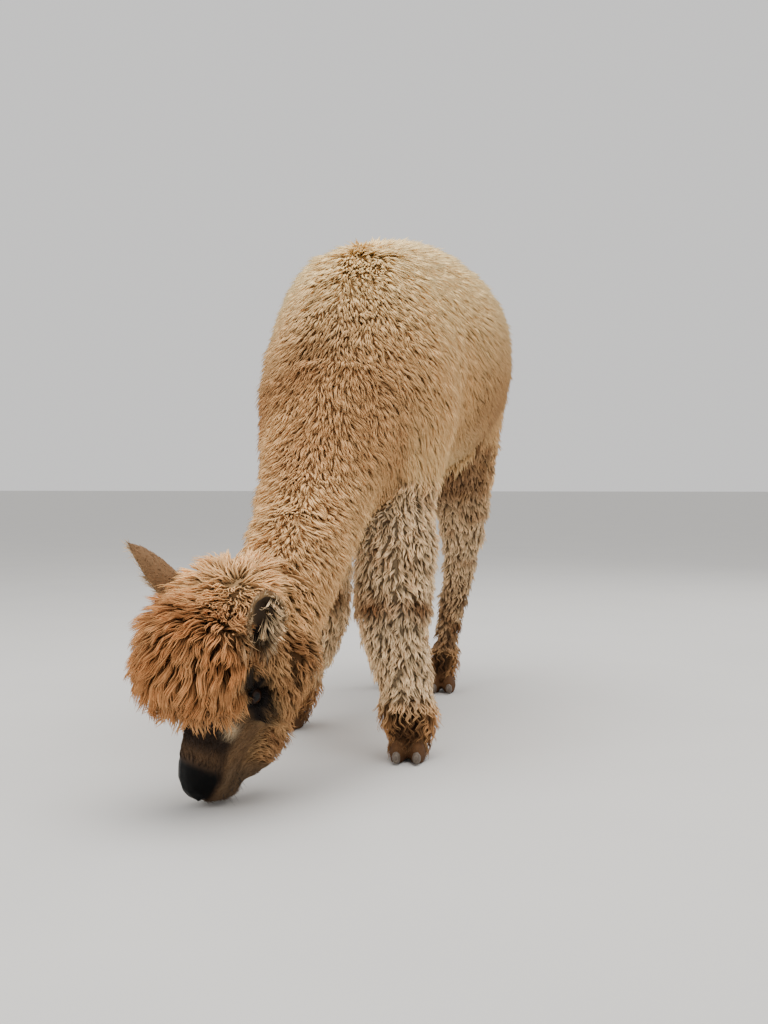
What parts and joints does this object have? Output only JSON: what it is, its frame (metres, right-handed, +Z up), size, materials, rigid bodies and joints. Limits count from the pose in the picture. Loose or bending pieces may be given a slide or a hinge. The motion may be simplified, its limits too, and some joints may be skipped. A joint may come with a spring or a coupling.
{
  "type": "grazing alpaca",
  "caption": "Life-size standing alpaca in full fleece, neck lowered and head turned as it grazes, shown as a still model.",
  "frame": {"origin": "on the floor under the middle of the bounding box", "axes": "+X to the animal's left, +Y from head to tail, +Z up"},
  "size_m": [0.4812, 1.4516, 0.9282],
  "materials": {
    "body_fleece": "matte",
    "crown_fleece": "matte",
    "leg_fleece": "matte",
    "muzzle_hair": "matte",
    "ear_hair": "matte",
    "toe_pad": "matte",
    "nail": "satin",
    "eye": "gloss"
  },
  "bodies": {
    "root": {"ear_left": "ear_hair", "ear_right": "ear_hair", "eye_left": "eye", "eye_right": "eye", "fore_left_foot": "leg_fleece", "fore_left_leg": "leg_fleece", "fore_left_nail_inner": "nail", "fore_left_nail_outer": "nail", "fore_left_shank": "leg_fleece", "fore_left_toe_inner": "toe_pad", "fore_left_toe_outer": "toe_pad", "fore_right_foot": "leg_fleece", "fore_right_leg": "leg_fleece", "fore_right_nail_inner": "nail", "fore_right_nail_outer": "nail", "fore_right_shank": "leg_fleece", "fore_right_toe_inner": "toe_pad", "fore_right_toe_outer": "toe_pad", "head": "crown_fleece", "hind_left_foot": "leg_fleece", "hind_left_leg": "leg_fleece", "hind_left_nail_inner": "nail", "hind_left_nail_outer": "nail", "hind_left_shank": "leg_fleece", "hind_left_toe_inner": "toe_pad", "hind_left_toe_outer": "toe_pad", "hind_right_foot": "leg_fleece", "hind_right_leg": "leg_fleece", "hind_right_nail_inner": "nail", "hind_right_nail_outer": "nail", "hind_right_shank": "leg_fleece", "hind_right_toe_inner": "toe_pad", "hind_right_toe_outer": "toe_pad", "jaw": "muzzle_hair", "muzzle": "muzzle_hair", "neck": "body_fleece", "tail": "body_fleece", "trunk": "body_fleece"}
  },
  "joints": []
}
